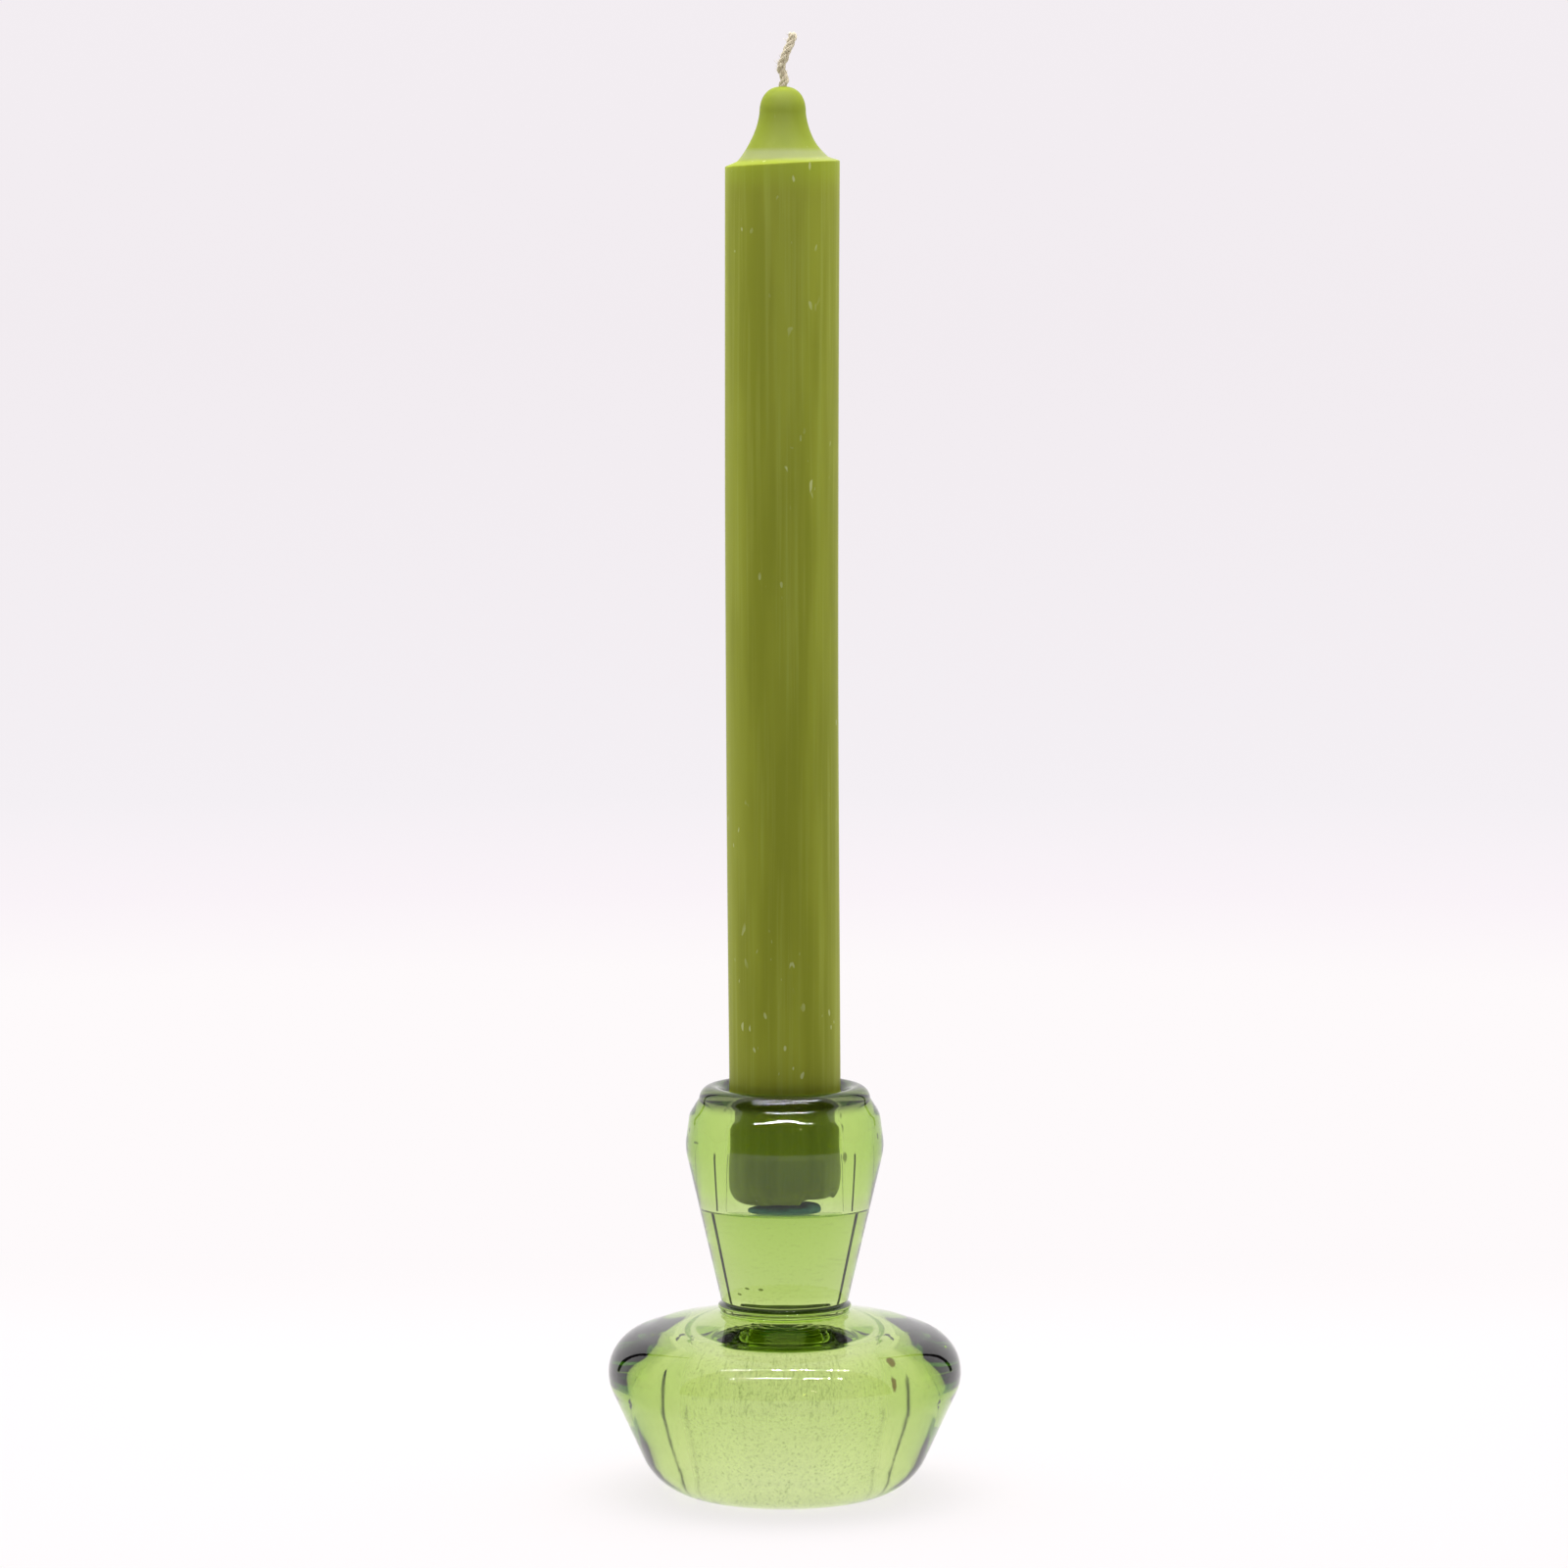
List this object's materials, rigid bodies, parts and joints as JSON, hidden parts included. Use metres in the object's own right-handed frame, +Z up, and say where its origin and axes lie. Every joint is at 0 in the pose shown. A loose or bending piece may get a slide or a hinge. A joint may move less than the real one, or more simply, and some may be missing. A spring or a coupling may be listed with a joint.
{
  "type": "candlestick",
  "caption": "Low green pressed-glass candlestick with a squat round base, hollow underneath, a grooved neck and cup-shaped socket, holding a tall lime dinner candle on a pad of putty.",
  "frame": {"origin": "centre of the flat foot, on the surface that the candlestick stands on", "axes": "+Z up along the axis of the glass and the candle, -Y to the front of the picture's view, +X to its right"},
  "size_m": [0.07, 0.07, 0.2884],
  "materials": {
    "green_glass": "fire-polished, clear, solid colour",
    "candle_wax": "drawn wax, satin",
    "wick": "twisted cotton",
    "putty": "soft putty, matt"
  },
  "bodies": {
    "holder": {"glass_body": "green_glass"},
    "putty": {"putty_pad": "putty"},
    "candle": {"candle_wax": "candle_wax", "wick": "wick"}
  },
  "joints": [
    {"name": "candle_turn", "type": "hinge", "parent": "holder", "child": "putty", "pos_m": [0, 0, 0.0572], "axis": [0, 0, 1], "continuous": true},
    {"name": "candle_lift", "type": "slide", "parent": "putty", "child": "candle", "axis": [0, 0, 1], "range_m": [0, 0.03]}
  ]
}
